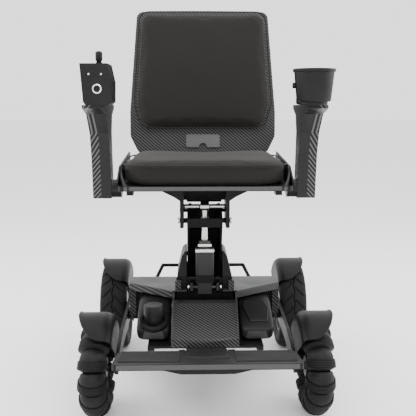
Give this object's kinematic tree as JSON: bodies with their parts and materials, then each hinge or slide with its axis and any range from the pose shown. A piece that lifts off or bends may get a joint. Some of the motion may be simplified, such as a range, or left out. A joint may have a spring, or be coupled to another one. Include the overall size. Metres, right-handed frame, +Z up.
{
  "type": "power wheelchair",
  "caption": "Electric wheelchair with a four-bar seat lift, omni front wheels, flip-up arms, joystick, cup holder and folding footplate.",
  "frame": {"origin": "centre of the footprint box on the floor", "axes": "+Z up, -Y the way the chair faces, +X the user's left hand"},
  "size_m": [0.637, 0.8302, 1.0618],
  "materials": {
    "frame_steel": "satin powder coat",
    "deck_grey": "satin paint",
    "carbon_shell": "twill carbon look under clear coat",
    "case_plastic": "fine moulded texture",
    "guard_plastic": "satin moulded",
    "link_steel": "powder coat",
    "bright_steel": "turned and polished",
    "cast_alloy": "machined and anodised",
    "pan_alloy": "brushed and anodised",
    "seat_fabric": "woven mesh",
    "pad_foam": "skinned foam",
    "tyre_rubber": "moulded tread",
    "roller_rubber": "grooved",
    "tread_plate": "ribbed",
    "chrome_ring": "polished"
  },
  "bodies": {
    "base": {"chassis_frame": "frame_steel", "wheel_arms": "frame_steel", "deck_cover": "deck_grey", "front_fascia": "carbon_shell", "controller_pod": "case_plastic", "rear_bar": "frame_steel", "front_mudguards": "guard_plastic", "rear_mudguards": "guard_plastic", "lift_tower": "link_steel"},
    "battery": {"battery_pack": "case_plastic"},
    "foot": {"footplate": "tread_plate"},
    "link_front": {"front_link": "link_steel"},
    "link_rear": {"rear_link": "link_steel"},
    "actuator": {"actuator_body": "cast_alloy"},
    "ram": {"actuator_rod": "bright_steel"},
    "seat": {"seat_carriage": "link_steel", "seat_pan": "pan_alloy", "seat_cushion": "seat_fabric"},
    "backrest": {"back_shell": "carbon_shell", "back_cushion": "seat_fabric"},
    "latch": {"back_latch": "cast_alloy"},
    "arm_right": {"right_arm": "carbon_shell", "right_arm_pad": "pad_foam", "joystick_housing": "case_plastic"},
    "arm_left": {"left_arm": "carbon_shell", "left_arm_pad": "pad_foam", "cup_holder": "case_plastic"},
    "gimbal": {"joystick_gimbal": "bright_steel"},
    "stick": {"joystick": "case_plastic"},
    "button": {"power_button": "chrome_ring"},
    "wheel_right_rear": {"right_rear_rim": "cast_alloy", "right_rear_tyre": "tyre_rubber"},
    "hub_right": {"right_omni_hub": "cast_alloy"},
    "wheel_left_rear": {"left_rear_rim": "cast_alloy", "left_rear_tyre": "tyre_rubber"},
    "hub_left": {"left_omni_hub": "cast_alloy"},
    "right_roller_01": {"right_roller_01": "roller_rubber"},
    "right_roller_02": {"right_roller_02": "roller_rubber"},
    "right_roller_03": {"right_roller_03": "roller_rubber"},
    "right_roller_04": {"right_roller_04": "roller_rubber"},
    "right_roller_05": {"right_roller_05": "roller_rubber"},
    "right_roller_06": {"right_roller_06": "roller_rubber"},
    "right_roller_07": {"right_roller_07": "roller_rubber"},
    "right_roller_08": {"right_roller_08": "roller_rubber"},
    "right_roller_09": {"right_roller_09": "roller_rubber"},
    "right_roller_10": {"right_roller_10": "roller_rubber"},
    "right_roller_11": {"right_roller_11": "roller_rubber"},
    "right_roller_12": {"right_roller_12": "roller_rubber"},
    "left_roller_01": {"left_roller_01": "roller_rubber"},
    "left_roller_02": {"left_roller_02": "roller_rubber"},
    "left_roller_03": {"left_roller_03": "roller_rubber"},
    "left_roller_04": {"left_roller_04": "roller_rubber"},
    "left_roller_05": {"left_roller_05": "roller_rubber"},
    "left_roller_06": {"left_roller_06": "roller_rubber"},
    "left_roller_07": {"left_roller_07": "roller_rubber"},
    "left_roller_08": {"left_roller_08": "roller_rubber"},
    "left_roller_09": {"left_roller_09": "roller_rubber"},
    "left_roller_10": {"left_roller_10": "roller_rubber"},
    "left_roller_11": {"left_roller_11": "roller_rubber"},
    "left_roller_12": {"left_roller_12": "roller_rubber"}
  },
  "joints": [
    {"name": "seat_lift", "type": "hinge", "parent": "base", "child": "link_front", "pos_m": [0, 0.05812, 0.32], "axis": [1, 0, 0], "range_deg": [0, 35]},
    {"name": "rear_link_swing", "type": "hinge", "parent": "base", "child": "link_rear", "pos_m": [0, 0.12112, 0.34], "axis": [1, 0, 0], "range_deg": [0, 35]},
    {"name": "seat_level", "type": "hinge", "parent": "link_front", "child": "seat", "pos_m": [0, -0.01388, 0.462], "axis": [1, 0, 0], "range_deg": [-35, 0]},
    {"name": "actuator_tilt", "type": "hinge", "parent": "base", "child": "actuator", "pos_m": [0, -0.00388, 0.272], "axis": [1, 0, 0], "range_deg": [0, 23]},
    {"name": "actuator_stroke", "type": "slide", "parent": "actuator", "child": "ram", "axis": [0, -0.0175, 0.9998], "range_m": [-0.0502, 0]},
    {"name": "backrest_recline", "type": "hinge", "parent": "seat", "child": "backrest", "pos_m": [0, 0.29612, 0.608], "axis": [-1, 0, 0], "range_deg": [0, 30]},
    {"name": "recline_release", "type": "hinge", "parent": "backrest", "child": "latch", "pos_m": [0, 0.27531, 0.67998], "axis": [-1, 0, 0], "range_deg": [0, 20], "stiffness_Nm_per_rad": 0.6, "springref_deg": -8.59},
    {"name": "right_arm_flip", "type": "hinge", "parent": "seat", "child": "arm_right", "pos_m": [-0.23, 0.02712, 0.546], "axis": [-1, 0, 0], "range_deg": [0, 85]},
    {"name": "left_arm_flip", "type": "hinge", "parent": "seat", "child": "arm_left", "pos_m": [0.23, 0.02712, 0.546], "axis": [-1, 0, 0], "range_deg": [0, 70]},
    {"name": "joystick_fore_aft", "type": "hinge", "parent": "arm_right", "child": "gimbal", "pos_m": [-0.263, -0.11388, 0.859], "axis": [1, 0, 0], "range_deg": [-20, 20], "stiffness_Nm_per_rad": 0.6},
    {"name": "joystick_sideways", "type": "hinge", "parent": "gimbal", "child": "stick", "pos_m": [-0.263, -0.11388, 0.859], "axis": [0, 1, 0], "range_deg": [-20, 20], "stiffness_Nm_per_rad": 0.6},
    {"name": "power_button_press", "type": "slide", "parent": "arm_right", "child": "button", "axis": [0, 1, 0], "range_m": [0, 0.0025], "stiffness_N_per_m": 400, "springref_m": -0.001},
    {"name": "battery_withdraw", "type": "slide", "parent": "base", "child": "battery", "axis": [0, -1, 0], "range_m": [0, 0.145]},
    {"name": "footplate_fold", "type": "hinge", "parent": "base", "child": "foot", "pos_m": [0, -0.26588, 0.182], "axis": [-1, 0, 0], "range_deg": [0, 75]},
    {"name": "right_rear_wheel_spin", "type": "hinge", "parent": "base", "child": "wheel_right_rear", "pos_m": [-0.276, 0.27912, 0.136], "axis": [1, 0, 0], "continuous": true},
    {"name": "left_rear_wheel_spin", "type": "hinge", "parent": "base", "child": "wheel_left_rear", "pos_m": [0.276, 0.27912, 0.136], "axis": [1, 0, 0], "continuous": true},
    {"name": "right_omni_hub_spin", "type": "hinge", "parent": "base", "child": "hub_right", "pos_m": [-0.2735, -0.20388, 0.122], "axis": [1, 0, 0], "continuous": true},
    {"name": "left_omni_hub_spin", "type": "hinge", "parent": "base", "child": "hub_left", "pos_m": [0.2735, -0.20388, 0.122], "axis": [1, 0, 0], "continuous": true},
    {"name": "right_roller_01_spin", "type": "hinge", "parent": "hub_right", "child": "right_roller_01", "pos_m": [-0.2735, -0.28621, 0.10299], "axis": [0, -0.225, 0.9744], "continuous": true},
    {"name": "right_roller_02_spin", "type": "hinge", "parent": "hub_right", "child": "right_roller_02", "pos_m": [-0.2735, -0.28468, 0.14671], "axis": [0, 0.2924, 0.9563], "continuous": true},
    {"name": "right_roller_03_spin", "type": "hinge", "parent": "hub_right", "child": "right_roller_03", "pos_m": [-0.2735, -0.2615, 0.1838], "axis": [0, 0.7314, 0.682], "continuous": true},
    {"name": "right_roller_04_spin", "type": "hinge", "parent": "hub_right", "child": "right_roller_04", "pos_m": [-0.2735, -0.22288, 0.20433], "axis": [0, 0.9744, 0.225], "continuous": true},
    {"name": "right_roller_05_spin", "type": "hinge", "parent": "hub_right", "child": "right_roller_05", "pos_m": [-0.2735, -0.17917, 0.20281], "axis": [0, 0.9563, -0.2924], "continuous": true},
    {"name": "right_roller_06_spin", "type": "hinge", "parent": "hub_right", "child": "right_roller_06", "pos_m": [-0.2735, -0.14208, 0.17963], "axis": [0, 0.682, -0.7314], "continuous": true},
    {"name": "right_roller_07_spin", "type": "hinge", "parent": "hub_right", "child": "right_roller_07", "pos_m": [-0.2735, -0.12154, 0.14101], "axis": [0, 0.225, -0.9744], "continuous": true},
    {"name": "right_roller_08_spin", "type": "hinge", "parent": "hub_right", "child": "right_roller_08", "pos_m": [-0.2735, -0.12307, 0.0973], "axis": [0, -0.2924, -0.9563], "continuous": true},
    {"name": "right_roller_09_spin", "type": "hinge", "parent": "hub_right", "child": "right_roller_09", "pos_m": [-0.2735, -0.14625, 0.0602], "axis": [0, -0.7314, -0.682], "continuous": true},
    {"name": "right_roller_10_spin", "type": "hinge", "parent": "hub_right", "child": "right_roller_10", "pos_m": [-0.2735, -0.18487, 0.03967], "axis": [0, -0.9744, -0.225], "continuous": true},
    {"name": "right_roller_11_spin", "type": "hinge", "parent": "hub_right", "child": "right_roller_11", "pos_m": [-0.2735, -0.22858, 0.04119], "axis": [0, -0.9563, 0.2924], "continuous": true},
    {"name": "right_roller_12_spin", "type": "hinge", "parent": "hub_right", "child": "right_roller_12", "pos_m": [-0.2735, -0.26567, 0.06437], "axis": [0, -0.682, 0.7314], "continuous": true},
    {"name": "left_roller_01_spin", "type": "hinge", "parent": "hub_left", "child": "left_roller_01", "pos_m": [0.2735, -0.28621, 0.10299], "axis": [0, -0.225, 0.9744], "continuous": true},
    {"name": "left_roller_02_spin", "type": "hinge", "parent": "hub_left", "child": "left_roller_02", "pos_m": [0.2735, -0.28468, 0.14671], "axis": [0, 0.2924, 0.9563], "continuous": true},
    {"name": "left_roller_03_spin", "type": "hinge", "parent": "hub_left", "child": "left_roller_03", "pos_m": [0.2735, -0.2615, 0.1838], "axis": [0, 0.7314, 0.682], "continuous": true},
    {"name": "left_roller_04_spin", "type": "hinge", "parent": "hub_left", "child": "left_roller_04", "pos_m": [0.2735, -0.22288, 0.20433], "axis": [0, 0.9744, 0.225], "continuous": true},
    {"name": "left_roller_05_spin", "type": "hinge", "parent": "hub_left", "child": "left_roller_05", "pos_m": [0.2735, -0.17917, 0.20281], "axis": [0, 0.9563, -0.2924], "continuous": true},
    {"name": "left_roller_06_spin", "type": "hinge", "parent": "hub_left", "child": "left_roller_06", "pos_m": [0.2735, -0.14208, 0.17963], "axis": [0, 0.682, -0.7314], "continuous": true},
    {"name": "left_roller_07_spin", "type": "hinge", "parent": "hub_left", "child": "left_roller_07", "pos_m": [0.2735, -0.12154, 0.14101], "axis": [0, 0.225, -0.9744], "continuous": true},
    {"name": "left_roller_08_spin", "type": "hinge", "parent": "hub_left", "child": "left_roller_08", "pos_m": [0.2735, -0.12307, 0.0973], "axis": [0, -0.2924, -0.9563], "continuous": true},
    {"name": "left_roller_09_spin", "type": "hinge", "parent": "hub_left", "child": "left_roller_09", "pos_m": [0.2735, -0.14625, 0.0602], "axis": [0, -0.7314, -0.682], "continuous": true},
    {"name": "left_roller_10_spin", "type": "hinge", "parent": "hub_left", "child": "left_roller_10", "pos_m": [0.2735, -0.18487, 0.03967], "axis": [0, -0.9744, -0.225], "continuous": true},
    {"name": "left_roller_11_spin", "type": "hinge", "parent": "hub_left", "child": "left_roller_11", "pos_m": [0.2735, -0.22858, 0.04119], "axis": [0, -0.9563, 0.2924], "continuous": true},
    {"name": "left_roller_12_spin", "type": "hinge", "parent": "hub_left", "child": "left_roller_12", "pos_m": [0.2735, -0.26567, 0.06437], "axis": [0, -0.682, 0.7314], "continuous": true}
  ],
  "couplings": [
    {"joint": "rear_link_swing", "follows": "seat_lift", "ratio": 1},
    {"joint": "seat_level", "follows": "seat_lift", "ratio": -1},
    {"joint": "actuator_tilt", "follows": "seat_lift", "ratio": 0.6541},
    {"joint": "actuator_stroke", "follows": "seat_lift", "m_per_rad": -0.082}
  ]
}
